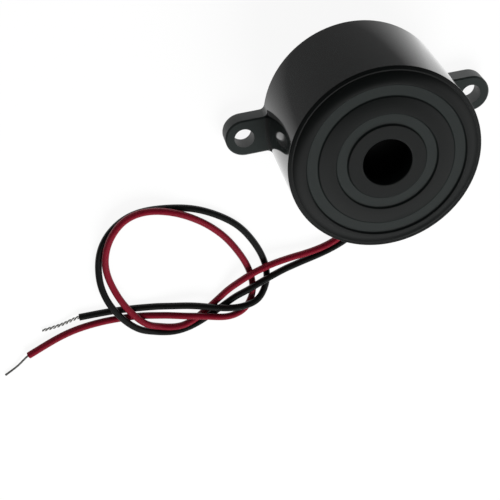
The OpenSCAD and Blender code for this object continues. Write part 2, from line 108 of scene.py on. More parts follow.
def smooth_line(points, step):
    """A smooth line through the points, as points about one step apart."""
    points = np.array(points)
    gaps = np.sqrt(np.linalg.norm(np.diff(points, axis=0), axis=1))
    slopes = np.diff(points, axis=0) / gaps[:, None]
    before, after = gaps[:-1, None], gaps[1:, None]
    inner = (slopes[:-1] * after + slopes[1:] * before) / (before + after)
    tangents = np.vstack([slopes[:1], inner, slopes[-1:]])
    line = []
    for i, gap in enumerate(gaps):
        count = max(2, round(gap * gap / step))
        for t in np.arange(count) / count:
            line.append((1 + 2 * t) * (1 - t) ** 2 * points[i]
                        + t * (1 - t) ** 2 * gap * tangents[i]
                        + t * t * (3 - 2 * t) * points[i + 1]
                        + t * t * (t - 1) * gap * tangents[i + 1])
    line.append(points[-1])
    return np.array(line)


def evened(flat, rounds):
    """The line with each point drawn towards its neighbours, round after round."""
    flat = flat.copy()
    for _ in range(rounds):
        flat[1:-1] = (flat[:-2] + 2 * flat[1:-1] + flat[2:]) / 4
    return flat


def soften_bends(line, rounds):
    """The line with even bends, at its old heights. A second pass keeps its loops wide."""
    flat = line[:, :2]
    first = evened(flat, rounds)
    second = evened(flat - first, rounds)
    return np.column_stack((first + second, line[:, 2]))


def unit(v):
    return v / np.linalg.norm(v)


def swept_mesh(name, line, rings, sides):
    """A closed tube. rings lists (index along the line, advance, radius) for each ring."""
    headings = [unit(line[min(i + 1, len(line) - 1)] - line[max(i - 1, 0)])
                for i in range(len(line))]
    side = np.array((0.0, 0.0, 1.0))
    sides_at = []
    for heading in headings:
        side = unit(side - heading * side.dot(heading))
        sides_at.append(side)
    run = np.concatenate([[0], np.cumsum(np.linalg.norm(np.diff(line, axis=0), axis=1))])
    points = []
    along = []
    for index, advance, radius in rings:
        up = sides_at[index]
        across = np.cross(headings[index], up)
        for k in range(sides):
            a = 2 * math.pi * k / sides
            points.append(line[index] + headings[index] * advance
                          + radius * (math.cos(a) * up + math.sin(a) * across))
        along.append(run[index] + advance)
    faces = [tuple(range(sides))[::-1]]
    for r in range(len(rings) - 1):
        for k in range(sides):
            j = (k + 1) % sides
            faces.append((r * sides + k, r * sides + j,
                          (r + 1) * sides + j, (r + 1) * sides + k))
    faces.append(tuple((len(rings) - 1) * sides + k for k in range(sides)))
    mesh = bpy.data.meshes.new(name)
    mesh.from_pydata([tuple(p) for p in points], [], faces)
    uv = mesh.uv_layers.new(name="UVMap")
    for polygon in mesh.polygons:
        inside = [mesh.loops[i].vertex_index for i in polygon.loop_indices]
        places = {v % sides for v in inside}
        wraps = len(inside) == 4 and places == {0, sides - 1}
        for loop, vertex in zip(polygon.loop_indices, inside):
            around = vertex % sides
            turn = 1.0 if wraps and around == 0 else around / sides
            uv.data[loop].uv = (turn, along[vertex // sides] / wrap_length)
        polygon.use_smooth = len(inside) == 4
    piece = bpy.data.objects.new(name, mesh)
    bpy.context.scene.collection.objects.link(piece)
    return piece


def lead(name, route):
    """The insulation as one tube: rounded where it was cut, hollow round the conductor."""
    line = soften_bends(smooth_line(route, ring_step), bend_rounds)
    last = len(line) - 1
    radius = lead_d / 2
    mouth = conductor_d / 2 + bore_slack
    bore = mouth - bore_step
    rings = [(i, 0, radius) for i in range(last)]
    for a in (0, 30, 60, 90):
        turn = math.radians(a)
        rings.append((last, (math.sin(turn) - 1) * cut_round,
                      radius - cut_round + math.cos(turn) * cut_round))
    rings += [(last, 0, mouth), (last, -bore_edge, bore), (last, -cut_depth, bore)]
    return swept_mesh(name, line, rings, lead_sides), line


def node(tree, kind, inputs=None, **settings):
    """A node with its settings and inputs; an input that is a socket is linked."""
    made = tree.nodes.new(kind)
    for key, value in settings.items():
        setattr(made, key, value)
    for key, value in (inputs or {}).items():
        if isinstance(value, bpy.types.NodeSocket):
            tree.links.new(value, made.inputs[key])
        else:
            made.inputs[key].default_value = value
    return made


def group(name, inputs, outputs):
    """An empty node group; returns its tree, its input sockets and its output node."""
    tree = bpy.data.node_groups.new(name, "ShaderNodeTree")
    for label, value in inputs.items():
        kind = "NodeSocketVector" if value is None else "NodeSocketFloat"
        if isinstance(value, tuple):
            kind = "NodeSocketColor"
        socket = tree.interface.new_socket(name=label, in_out="INPUT", socket_type=kind)
        if value is not None:
            socket.default_value = value
    for label in outputs:
        kind = "NodeSocketColor" if label == "Color" else "NodeSocketFloat"
        tree.interface.new_socket(name=label, in_out="OUTPUT", socket_type=kind)
    return tree, tree.nodes.new("NodeGroupInput").outputs, tree.nodes.new("NodeGroupOutput")


def math_node(tree, operation, a, b=0.5, c=0.5, clamp=False):
    return node(tree, "ShaderNodeMath", {0: a, 1: b, 2: c},
                operation=operation, use_clamp=clamp).outputs[0]


def vector_node(tree, operation, a, b=(0, 0, 0)):
    """A step on vectors; a length or a dot product comes out as a number."""
    second = "Scale" if operation == "SCALE" else 1
    made = node(tree, "ShaderNodeVectorMath", {0: a, second: b}, operation=operation)
    return made.outputs["Value" if operation in ("LENGTH", "DOT_PRODUCT") else "Vector"]


cloud_scale = 0.16 / mm


def moulded_skin():
    """Grain and cloudy gloss of moulded or extruded plastic."""
    tree, given, out = group(
        "moulded_skin",
        {"Vector": None, "Roughness": 0.3, "Cloud": 0.05, "Grain size": 0.1,
         "Color": (0.02, 0.02, 0.02, 1), "Tone": 0.1},
        ("Color", "Roughness", "Height"))
    fine = math_node(tree, "DIVIDE", 1 / mm, given["Grain size"])
    grain = node(tree, "ShaderNodeTexNoise",
                 {"Vector": given["Vector"], "Scale": fine, "Detail": 2.0})
    cloud = node(tree, "ShaderNodeTexNoise",
                 {"Vector": given["Vector"], "Scale": cloud_scale, "Detail": 4.0,
                  "Roughness": 0.6})
    centred = math_node(tree, "SUBTRACT", cloud.outputs[0], 0.5)
    swing = math_node(tree, "MULTIPLY", centred, given["Cloud"])
    doubled = math_node(tree, "MULTIPLY", swing, 2.0)
    rough = math_node(tree, "ADD", given["Roughness"], doubled, clamp=True)
    tone = math_node(tree, "MULTIPLY", centred, given["Tone"])
    lift = math_node(tree, "ADD", tone, 1.0)
    colour = vector_node(tree, "SCALE", given["Color"], lift)
    tree.links.new(colour, out.inputs["Color"])
    tree.links.new(rough, out.inputs["Roughness"])
    tree.links.new(grain.outputs[0], out.inputs["Height"])
    return tree


skin_group = moulded_skin()


def start_material(name, **values):
    """A material with a Principled shader whose own sockets hold the constant values."""
    material = bpy.data.materials.new(name)
    material.use_nodes = True
    tree = material.node_tree
    shader = tree.nodes["Principled BSDF"]
    for key, value in values.items():
        shader.inputs[key.replace("_", " ")].default_value = value
    return material, tree, shader


def object_place(tree):
    return node(tree, "ShaderNodeTexCoord").outputs["Object"]


def placed_group(tree, built, **values):
    """The group placed in a material, with the material's own values."""
    made = tree.nodes.new("ShaderNodeGroup")
    made.node_tree = built
    for key, value in values.items():
        socket = made.inputs[key.replace("_", " ")]
        if isinstance(value, bpy.types.NodeSocket):
            tree.links.new(value, socket)
        else:
            socket.default_value = value
    return made.outputs


relief_depth = 0.02 * mm


def bump(tree, shader, height, strength):
    made = node(tree, "ShaderNodeBump",
                {"Height": height, "Strength": strength, "Distance": relief_depth})
    tree.links.new(made.outputs[0], shader.inputs["Normal"])


def wear_skin(tree, shader, colour, roughness, height, relief):
    """Gives a shader the colour, roughness and relief that vary over its piece."""
    tree.links.new(colour, shader.inputs["Base Color"])
    tree.links.new(roughness, shader.inputs["Roughness"])
    bump(tree, shader, height, relief)


draw_lines = 9


def insulation(name, colour, roughness):
    """Extruded PVC: a satin skin with faint draw lines along the lead."""
    material, tree, shader = start_material(name, IOR=1.52, Specular_IOR_Level=0.18)
    skin = placed_group(tree, skin_group, Vector=object_place(tree), Roughness=roughness,
                        Cloud=0.12, Grain_size=0.12, Color=colour, Tone=0.5)
    turn = node(tree, "ShaderNodeSeparateXYZ",
                {0: node(tree, "ShaderNodeTexCoord").outputs["UV"]})
    angle = math_node(tree, "MULTIPLY", turn.outputs[0], 2 * math.pi * draw_lines)
    lines = math_node(tree, "SINE", angle)
    height = math_node(tree, "MULTIPLY_ADD", lines, 0.25, skin["Height"])
    wear_skin(tree, shader, skin["Color"], skin["Roughness"], height, 0.25)
    return material


red_insulation = insulation("red_insulation", (0.165, 0.0045, 0.015, 1), 0.38)
black_insulation = insulation("black_insulation", (0.006, 0.0062, 0.006, 1), 0.34)


# ---------------------------------------------------------------------------
# Stripped ends: the tinned copper strands that stick out of each lead,
# twisted by hand. The red one is fine and smooth; on the black one two strands
# wind round a straight core in open turns. That core is a paler matt copy of the tin:
# partly a matt finish, partly painted light that makes it show bright between the dark
# strands.
# ---------------------------------------------------------------------------
def geometry_tree(name, sizes):
    """An empty geometry tree with named inputs; returns it and its input sockets."""
    tree = bpy.data.node_groups.new(name, "GeometryNodeTree")
    for label, kind in sizes.items():
        tree.interface.new_socket(name=label, in_out="INPUT",
                                  socket_type="NodeSocket" + kind)
    tree.interface.new_socket(name="Geometry", in_out="OUTPUT",
                              socket_type="NodeSocketGeometry")
    return tree, tree.nodes.new("NodeGroupInput").outputs


def round_wire(tree, path, radius, sides):
    """A smooth wire with closed ends along a curve."""
    section = node(tree, "GeometryNodeCurvePrimitiveCircle",
                   {"Resolution": sides, "Radius": radius})
    wire = node(tree, "GeometryNodeCurveToMesh",
                {"Curve": path, "Profile Curve": section.outputs[0], "Fill Caps": True})
    smooth = node(tree, "GeometryNodeSetShadeSmooth", {"Geometry": wire.outputs[0]})
    return smooth.outputs[0]


def end_tree(tree, geometry, finish):
    """Ends a geometry tree with real geometry in its finish."""
    real = node(tree, "GeometryNodeRealizeInstances", {"Geometry": geometry})
    painted = node(tree, "GeometryNodeSetMaterial",
                   {"Geometry": real.outputs[0], "Material": finish})
    tree.links.new(painted.outputs[0], tree.nodes.new("NodeGroupOutput").inputs[0])


strand_sides = 10
splay_power = 6.0


def strand_tree():
    """Geometry nodes that lay strands round a line, with named sizes."""
    tree, given = geometry_tree(
        "twisted_strands",
        {"Line": "Geometry", "Strands": "Int", "Strand radius": "Float",
         "Lay radius": "Float", "Lay length": "Float", "Splay": "Float",
         "Finish": "Material"})
    curve = node(tree, "GeometryNodeMeshToCurve", {"Mesh": given["Line"]})
    copies = node(tree, "GeometryNodeDuplicateElements",
                  {"Geometry": curve.outputs[0], "Amount": given["Strands"]},
                  domain="SPLINE")
    along = node(tree, "GeometryNodeSplineParameter")
    start = math_node(tree, "DIVIDE", copies.outputs["Duplicate Index"], given["Strands"])
    turns = math_node(tree, "DIVIDE", along.outputs["Length"], given["Lay length"])
    turn = math_node(tree, "ADD", start, turns)
    angle = math_node(tree, "MULTIPLY", turn, 2 * math.pi)
    tangent = node(tree, "GeometryNodeInputTangent").outputs[0]
    normal = node(tree, "GeometryNodeInputNormal").outputs[0]
    side = vector_node(tree, "CROSS_PRODUCT", tangent, normal)
    late = math_node(tree, "POWER", along.outputs["Factor"], splay_power)
    spread = math_node(tree, "MULTIPLY", late, given["Splay"])
    wider = math_node(tree, "ADD", spread, 1.0)
    reach = math_node(tree, "MULTIPLY", wider, given["Lay radius"])
    parts = []
    for direction, operation in ((normal, "COSINE"), (side, "SINE")):
        share = math_node(tree, "MULTIPLY", math_node(tree, operation, angle), reach)
        parts.append(vector_node(tree, "SCALE", direction, share))
    twisted = node(tree, "GeometryNodeSetPosition",
                   {"Geometry": copies.outputs[0],
                    "Offset": vector_node(tree, "ADD", *parts)})
    wires = round_wire(tree, twisted.outputs[0], given["Strand radius"], strand_sides)
    end_tree(tree, wires, given["Finish"])
    return tree


def grown(name, tree, values, host_mesh):
    """Runs a geometry tree on a mesh and keeps the result as a plain mesh object."""
    host = bpy.data.objects.new(name + "_host", host_mesh)
    bpy.context.scene.collection.objects.link(host)
    modifier = host.modifiers.new(name, "NODES")
    modifier.node_group = tree
    for item in tree.interface.items_tree:
        if item.in_out == "INPUT" and item.name in values:
            modifier[item.identifier] = values[item.name]
    depsgraph = bpy.context.evaluated_depsgraph_get()
    mesh = bpy.data.meshes.new_from_object(host.evaluated_get(depsgraph))
    bpy.data.objects.remove(host)
    piece = bpy.data.objects.new(name, mesh)
    bpy.context.scene.collection.objects.link(piece)
    return piece


plain_sockets = ("IOR", "Metallic", "Coat_Weight", "Coat_Roughness")


def dressed(name, built, relief, **values):
    """A material whose colour, roughness and relief come from a shared group."""
    shader_values = {k: values.pop(k) for k in list(values) if k in plain_sockets}
    material, tree, shader = start_material(name, **shader_values)
    place = values.pop("Vector", object_place)
    skin = placed_group(tree, built, Vector=place(tree), **values)
    wear_skin(tree, shader, skin["Color"], skin["Roughness"], skin["Height"], relief)
    return material


strands_tree = strand_tree()
tinned_strand = dressed("tinned_strand", skin_group, 0.3, Metallic=1.0, Roughness=0.16,
                        Cloud=0.1, Grain_size=0.12, Color=(0.42, 0.42, 0.4, 1), Tone=0.6)
# Partly painted light: a paler matt copy of the tin, so the black end's core shows bright
# between its dark strands.
matt_strand_painted_light = dressed("matt_strand_painted_light", skin_group, 0.3, Metallic=0.2, Roughness=0.16,
                      Cloud=0.1, Grain_size=0.12, Color=(0.78, 0.78, 0.76, 1), Tone=0.6)
held_inside = 0.45 * mm
straight_out = 0.25 * mm
strand_step = 0.1 * mm


def stripped_end(node_name, name, line, tip, values):
    """The strands from inside the cut insulation to their tip."""
    onward = unit(line[-1] - line[-2])
    start, out = line[-1] - onward * held_inside, line[-1] + onward * straight_out
    guide = smooth_line([tuple(start), tuple(out)] + tip, strand_step)
    mesh = bpy.data.meshes.new(name + "_line")
    edges = [(i, i + 1) for i in range(len(guide) - 1)]
    mesh.from_pydata([tuple(p) for p in guide], edges, [])
    piece = grown(name, strands_tree, values, mesh)
    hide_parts(node_name)
    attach(piece, "root")
    return piece


for colour, route, tip, material, ends in (
        ("red", red_route, red_tip, red_insulation,
         {"strands": {"Strands": 7, "Strand radius": 0.06 * mm, "Lay radius": 0.13 * mm,
                      "Lay length": 6.0 * mm, "Splay": 0.15, "Finish": tinned_strand}}),
        ("black", black_route, black_tip, black_insulation,
         {"core": {"Strands": 1, "Strand radius": 0.17 * mm, "Lay radius": 0.0,
                   "Lay length": 1.6 * mm, "Splay": 0.0, "Finish": matt_strand_painted_light},
          "strands": {"Strands": 2, "Strand radius": 0.12 * mm, "Lay radius": 0.19 * mm,
                      "Lay length": -1.6 * mm, "Splay": -0.3, "Finish": tinned_strand}})):
    cord_name = colour + "_lead"
    insulated, line = lead(cord_name + "_flex", route)
    insulated.data.materials.append(material)
    bare = [stripped_end(cord_name + "_end", f"{cord_name}_{part}", line, tip, values)
            for part, values in ends.items()]
    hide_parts(cord_name)
    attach(insulated, "root")


# ---------------------------------------------------------------------------
# Housing: one injection moulding in black ABS, with a polished wall and a satin sound
# face. The ears and the floors of the face's channels are several times lighter in colour,
# the ears also rougher, and a fine witness line runs round each edge of the channels.
# ---------------------------------------------------------------------------
def paint(node_name, material):
    """Gives a CAD piece its finish."""
    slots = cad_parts[node_name].data.materials
    slots.clear()
    slots.append(material)


def map_range(tree, value, start, end, first=0, last=1, shape="LINEAR"):
    """The value's place between start and end, as a number between first and last."""
    return node(tree, "ShaderNodeMapRange",
                {"Value": value, "From Min": start, "From Max": end,
                 "To Min": first, "To Max": last}, interpolation_type=shape).outputs[0]


def band_mask(tree, value, start, end, soft):
    """A mask that is 1 between start and end, with soft edges."""
    rise = map_range(tree, value, start - soft, start + soft)
    fall = map_range(tree, value, end + soft, end - soft)
    return math_node(tree, "MULTIPLY", rise, fall)


wall_r = 16.0 * mm
ear_root = 0.6 * mm
face_foot = 19.1 * mm
face_rise = 0.5 * mm
channels = ((6.5 * mm, 8.35 * mm), (11.25 * mm, 13.15 * mm))
channel_soft = 0.05 * mm
witness = 0.24 * mm
lighter_by = 3.0
ear_share = 1.3
face_satin = 0.24
witness_satin = 0.6
ear_satin = 0.4


def housing_plastic():
    """Black ABS whose tone and gloss follow the face, its channels and the ears."""
    material, tree, shader = start_material("housing_plastic", IOR=1.5)
    place = object_place(tree)
    skin = placed_group(tree, skin_group, Vector=place, Roughness=0.1, Cloud=0.03,
                        Grain_size=0.3, Color=(0.0027, 0.0036, 0.0034, 1), Tone=0.25)
    height = node(tree, "ShaderNodeSeparateXYZ", {0: place}).outputs[2]
    face = map_range(tree, height, face_foot, face_foot + face_rise)
    reach = vector_node(tree, "LENGTH", vector_node(tree, "MULTIPLY", place, (1, 1, 0)))
    inner, outer = (band_mask(tree, reach, start, end, channel_soft)
                    for start, end in channels)
    floors = math_node(tree, "MULTIPLY", math_node(tree, "ADD", inner, outer), face)
    ears = map_range(tree, reach, wall_r, wall_r + ear_root)
    pale = math_node(tree, "MULTIPLY_ADD", ears, ear_share, floors)
    lighter = math_node(tree, "MULTIPLY_ADD", pale, lighter_by, 1.0)
    colour = vector_node(tree, "SCALE", skin["Color"], lighter)
    marks = [band_mask(tree, reach, edge - witness / 2, edge + witness / 2, witness / 4)
             for band in channels for edge in band]
    cut = math_node(tree, "ADD", math_node(tree, "ADD", *marks[:2]),
                    math_node(tree, "ADD", *marks[2:]))
    duller = math_node(tree, "MULTIPLY_ADD", cut, witness_satin, face_satin)
    satin = math_node(tree, "MULTIPLY", face, duller)
    dull = math_node(tree, "MULTIPLY_ADD", ears, ear_satin, satin)
    rough = math_node(tree, "ADD", skin["Roughness"], dull, clamp=True)
    wear_skin(tree, shader, colour, rough, skin["Height"], 0.04)
    return material


paint("housing", housing_plastic())


# ---------------------------------------------------------------------------
# Back cover: a pressed-in disc of black ABS with a fine even texture all over,
# with three posts that hold the board against its ribs.
# ---------------------------------------------------------------------------
paint("back_cover", dressed("cover_plastic", skin_group, 0.6, IOR=1.5, Roughness=0.42,
                            Cloud=0.06, Grain_size=0.14,
                            Color=(0.0135, 0.014, 0.0138, 1), Tone=0.3))


# ---------------------------------------------------------------------------
# Sound element: a rolled brass disc, coated black on the side that faces the port as
# painted shade for the dark port, with a fired ceramic disc and its two silver electrodes
# on the back.
# ---------------------------------------------------------------------------
stain_scale = 0.35 / mm


def worked_metal():
    """Rolled, drawn or dipped metal: a streaky tone, uneven gloss and fine lines."""
    tree, given, out = group(
        "worked_metal",
        {"Vector": None, "Roughness": 0.3, "Streaks": 0.3, "Line size": 0.1,
         "Color": (0.6, 0.6, 0.6, 1)},
        ("Color", "Roughness", "Height"))
    fine = math_node(tree, "DIVIDE", 1 / mm, given["Line size"])
    lines = node(tree, "ShaderNodeTexNoise",
                 {"Vector": given["Vector"], "Scale": fine, "Detail": 3.0})
    stain = node(tree, "ShaderNodeTexNoise",
                 {"Vector": given["Vector"], "Scale": stain_scale, "Detail": 5.0})
    uneven = math_node(tree, "SUBTRACT", lines.outputs[0], stain.outputs[0])
    swing = math_node(tree, "MULTIPLY", uneven, given["Streaks"])
    rough = math_node(tree, "ADD", given["Roughness"], swing, clamp=True)
    lift = math_node(tree, "SUBTRACT", 1.0, math_node(tree, "ABSOLUTE", swing))
    colour = vector_node(tree, "SCALE", given["Color"], lift)
    tree.links.new(colour, out.inputs["Color"])
    tree.links.new(rough, out.inputs["Roughness"])
    tree.links.new(lines.outputs[0], out.inputs["Height"])
    return tree


def blend(tree, factor, one, other):
    """One colour where the factor is 0, the other where it is 1."""
    return node(tree, "ShaderNodeMix", {"Factor": factor, "A": one, "B": other},
                data_type="RGBA").outputs["Result"]


def fired_body():
    """Ceramic, laminate, ferrite and the like: blotches of a second tone and fine pores."""
    tree, given, out = group(
        "fired_body",
        {"Vector": None, "Roughness": 0.6, "Blotch size": 2.0, "Pore size": 0.1,
         "Color": (0.5, 0.5, 0.5, 1), "Second color": (0.4, 0.4, 0.4, 1)},
        ("Color", "Roughness", "Height"))
    wide = math_node(tree, "DIVIDE", 1 / mm, given["Blotch size"])
    fine = math_node(tree, "DIVIDE", 1 / mm, given["Pore size"])
    blotches = node(tree, "ShaderNodeTexNoise",
                    {"Vector": given["Vector"], "Scale": wide, "Detail": 6.0})
    pores = node(tree, "ShaderNodeTexVoronoi", {"Vector": given["Vector"], "Scale": fine})
    spread = map_range(tree, blotches.outputs[0], 0.35, 0.65)
    colour = blend(tree, spread, given["Color"], given["Second color"])
    shade = math_node(tree, "MULTIPLY", math_node(tree, "SUBTRACT", spread, 0.5), 0.12)
    rough = math_node(tree, "ADD", given["Roughness"], shade, clamp=True)
    tree.links.new(colour, out.inputs["Color"])
    tree.links.new(rough, out.inputs["Roughness"])
    tree.links.new(pores.outputs["Distance"], out.inputs["Height"])
    return tree


metal_group = worked_metal()
fired_group = fired_body()
disc_front = 14.64 * mm
# The height over which the painted shade on the disc's front fades in.
painted_shade_edge = 0.03 * mm


def stretched(x, y, z):
    """Object coordinates scaled per axis, so that a texture is drawn out along one."""
    return lambda tree: vector_node(tree, "MULTIPLY", object_place(tree), (x, y, z))


def brass():
    """Brass drawn out in the rolling direction, under a black coat of painted shade on its
    front.
    """
    material = dressed("brass", metal_group, 0.3, Vector=stretched(0.06, 1, 1),
                       Metallic=1.0, Roughness=0.26, Streaks=0.25, Line_size=0.12,
                       Color=(0.72, 0.52, 0.22, 1))
    tree = material.node_tree
    shader = tree.nodes["Principled BSDF"]
    place = object_place(tree)
    height = node(tree, "ShaderNodeSeparateXYZ", {0: place}).outputs[2]
    # Painted shade: the front face gets a near-black coat that stands for the shade seen
    # through the port.
    front = map_range(tree, height, disc_front, disc_front + painted_shade_edge)
    lacquer = node(tree, "ShaderNodeBsdfPrincipled",
                   {"Base Color": (0.004, 0.0042, 0.004, 1), "Specular IOR Level": 0.2})
    skin = placed_group(tree, skin_group, Vector=place, Roughness=0.55, Cloud=0.1,
                        Grain_size=0.2)
    tree.links.new(skin["Roughness"], lacquer.inputs["Roughness"])
    bump(tree, lacquer, skin["Height"], 0.2)
    mixed = node(tree, "ShaderNodeMixShader",
                 {0: front, 1: shader.outputs[0], 2: lacquer.outputs[0]})
    tree.links.new(mixed.outputs[0], tree.nodes["Material Output"].inputs["Surface"])
    return material


paint("brass_diaphragm", brass())
paint("piezo_ceramic", dressed("ceramic", fired_group, 0.3, IOR=1.6, Roughness=0.55,
                               Blotch_size=2.5, Pore_size=0.06,
                               Color=(0.64, 0.585, 0.43, 1),
                               Second_color=(0.59, 0.54, 0.4, 1)))
silver_film = dressed("silver_film", metal_group, 0.5, Metallic=1.0, Roughness=0.45,
                      Streaks=0.2, Line_size=0.07, Color=(0.76, 0.755, 0.74, 1))
for electrode in ("main_electrode", "feedback_electrode"):
    paint(electrode, silver_film)


# ---------------------------------------------------------------------------
# Glue and solder: a bead of white silicone under the disc's edge, and smooth
# tin solder on the disc and round the wires under the board.
# ---------------------------------------------------------------------------
paint("disc_adhesive", dressed("silicone", skin_group, 0.5, IOR=1.41, Roughness=0.4,
                               Cloud=0.1, Grain_size=0.5,
                               Color=(0.75, 0.75, 0.72, 1), Tone=0.1))
solder = dressed("solder", metal_group, 0.3, Metallic=1.0, Roughness=0.2, Streaks=0.2,
                 Line_size=0.4, Color=(0.63, 0.64, 0.66, 1))
for joint in ("disc_solder", "solder_joints"):
    paint(joint, solder)


# ---------------------------------------------------------------------------
# Driver board: brown paper laminate, punched round, with etched copper tracks
# under a thin coat of flux on its lower side.
# ---------------------------------------------------------------------------
paint("driver_board", dressed("board_laminate", fired_group, 0.15,
                              Vector=stretched(0.25, 1, 1), IOR=1.5, Roughness=0.45,
                              Blotch_size=1.2, Pore_size=0.08,
                              Color=(0.5, 0.335, 0.15, 1),
                              Second_color=(0.42, 0.27, 0.11, 1)))
paint("board_copper", dressed("copper", metal_group, 0.2, Metallic=1.0, Coat_Weight=0.4,
                              Roughness=0.3, Streaks=0.35, Line_size=0.15,
                              Color=(0.76, 0.39, 0.21, 1)))


# ---------------------------------------------------------------------------
# Choke: a sintered ferrite bobbin, wound in the workshop with enamelled copper
# wire over a wrapped core, on three tinned pins. The outer layer is real turns.
# ---------------------------------------------------------------------------
winding_foot = 6.1 * mm
winding_height = 3.8 * mm
winding_inner = 1.8 * mm
winding_outer = 3.5 * mm
wire_d = 0.2 * mm
wire_sides = 8
choke_x = -5.0 * mm
choke_y = 3.6 * mm


def coil_tree():
    """Geometry nodes for one layer of close turns over a ring of wound wire."""
    tree, given = geometry_tree(
        "wound_coil",
        {"Guide": "Geometry", "Turns": "Float", "Inner radius": "Float",
         "Outer radius": "Float", "Height": "Float", "Wire diameter": "Float",
         "Finish": "Material"})
    radius = math_node(tree, "MULTIPLY", given["Wire diameter"], 0.5)
    lay = math_node(tree, "SUBTRACT", given["Outer radius"], radius)
    climb = math_node(tree, "SUBTRACT", given["Height"], given["Wire diameter"])
    spiral = node(tree, "GeometryNodeCurveSpiral",
                  {"Resolution": 40, "Rotations": given["Turns"], "Start Radius": lay,
                   "End Radius": lay, "Height": climb})
    lift = node(tree, "ShaderNodeCombineXYZ", {2: radius})
    raised = node(tree, "GeometryNodeTransform",
                  {"Geometry": spiral.outputs[0], "Translation": lift.outputs[0]})
    turns = round_wire(tree, raised.outputs[0], radius, wire_sides)
    under = math_node(tree, "SUBTRACT", lay, radius)
    across = math_node(tree, "ADD", under, given["Inner radius"])
    hoop = node(tree, "GeometryNodeCurvePrimitiveCircle",
                {"Resolution": 64, "Radius": math_node(tree, "MULTIPLY", across, 0.5)})
    wall = node(tree, "GeometryNodeCurvePrimitiveQuadrilateral",
                {"Width": math_node(tree, "SUBTRACT", under, given["Inner radius"]),
                 "Height": climb})
    packed = node(tree, "GeometryNodeCurveToMesh",
                  {"Curve": hoop.outputs[0], "Profile Curve": wall.outputs[0]})
    middle = node(tree, "ShaderNodeCombineXYZ",
                  {2: math_node(tree, "MULTIPLY", given["Height"], 0.5)})
    placed = node(tree, "GeometryNodeTransform",
                  {"Geometry": packed.outputs[0], "Translation": middle.outputs[0]})
    joined = node(tree, "GeometryNodeJoinGeometry")
    tree.links.new(turns, joined.inputs[0])
    tree.links.new(placed.outputs[0], joined.inputs[0])
    end_tree(tree, joined.outputs[0], given["Finish"])
    return tree


enamelled_wire = dressed("enamelled_wire", metal_group, 0.2, Metallic=0.7, Coat_Weight=0.8,
                         Coat_Roughness=0.1, Roughness=0.35, Streaks=0.3, Line_size=0.3,
                         Color=(0.45, 0.17, 0.06, 1))
point = bpy.data.meshes.new("winding_guide")
point.from_pydata([(0, 0, 0)], [], [])
winding = grown("wound_choke", coil_tree(),
                {"Turns": (winding_height - wire_d) / wire_d, "Inner radius": winding_inner,
                 "Outer radius": winding_outer, "Height": winding_height,
                 "Wire diameter": wire_d, "Finish": enamelled_wire}, point)
for vertex in winding.data.vertices:
    vertex.co.x += choke_x
    vertex.co.y += choke_y
    vertex.co.z += winding_foot
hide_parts("choke_winding")
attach(winding, "root")

paint("choke_core", dressed("ferrite", fired_group, 0.4, IOR=1.9, Roughness=0.6,
                            Blotch_size=0.8, Pore_size=0.07,
                            Color=(0.095, 0.095, 0.102, 1),
                            Second_color=(0.075, 0.075, 0.082, 1)))
tinned = dressed("tinned_wire", metal_group, 0.15, Metallic=1.0, Roughness=0.24,
                 Streaks=0.2, Line_size=0.2, Color=(0.71, 0.715, 0.72, 1))
paint("choke_pins", tinned)


# ---------------------------------------------------------------------------
# Transistor: transfer-moulded black epoxy with a fine matt skin, on three
# tinned legs that splay to their holes.
# ---------------------------------------------------------------------------
paint("transistor_body", dressed("epoxy", fired_group, 0.5, IOR=1.55, Roughness=0.5,
                                 Blotch_size=1.5, Pore_size=0.06,
                                 Color=(0.026, 0.026, 0.027, 1),
                                 Second_color=(0.022, 0.022, 0.023, 1)))
paint("transistor_legs", tinned)


# ---------------------------------------------------------------------------
# Resistors: dipped in buff lacquer with painted colour bands, on tinned wires
# bent down into the board.
# ---------------------------------------------------------------------------
resistor_x = 4.6 * mm
between_resistors = -0.5 * mm
half_gap = 0.1 * mm
band_w = 0.34 * mm
band_soft = 0.02 * mm
band_at = (-1.25 * mm, -0.7 * mm, -0.15 * mm, 1.15 * mm)
first_bands = ((0.09, 0.03, 0.012), (0.008, 0.008, 0.008), (0.6, 0.14, 0.01),
               (0.42, 0.28, 0.06))
second_bands = ((0.4, 0.012, 0.01), (0.4, 0.012, 0.01), (0.09, 0.03, 0.012),
                (0.42, 0.28, 0.06))


def resistor_lacquer():
    """Buff lacquer with each resistor's own four bands."""
    material, tree, shader = start_material("resistor_lacquer", IOR=1.5, Coat_Weight=0.5)
    place = object_place(tree)
    skin = placed_group(tree, skin_group, Vector=place, Roughness=0.3, Cloud=0.1,
                        Grain_size=0.4, Color=(0.62, 0.5, 0.33, 1), Tone=0.15)
    axes = node(tree, "ShaderNodeSeparateXYZ", {0: place}).outputs
    along = math_node(tree, "SUBTRACT", axes[0], resistor_x)
    upper = map_range(tree, axes[1], between_resistors - half_gap, between_resistors)
    colour = skin["Color"]
    for middle, one, other in zip(band_at, first_bands, second_bands):
        band = blend(tree, upper, (*other, 1), (*one, 1))
        mask = band_mask(tree, along, middle - band_w / 2, middle + band_w / 2, band_soft)
        colour = blend(tree, mask, colour, band)
    wear_skin(tree, shader, colour, skin["Roughness"], skin["Height"], 0.3)
    return material


paint("resistor_bodies", resistor_lacquer())
paint("resistor_leads", tinned)


# ---------------------------------------------------------------------------
# Diode: an amber glass bead sealed on its wires, with a black band painted at
# the cathode end.
# ---------------------------------------------------------------------------
cathode_from = -3.9 * mm
cathode_to = -3.5 * mm


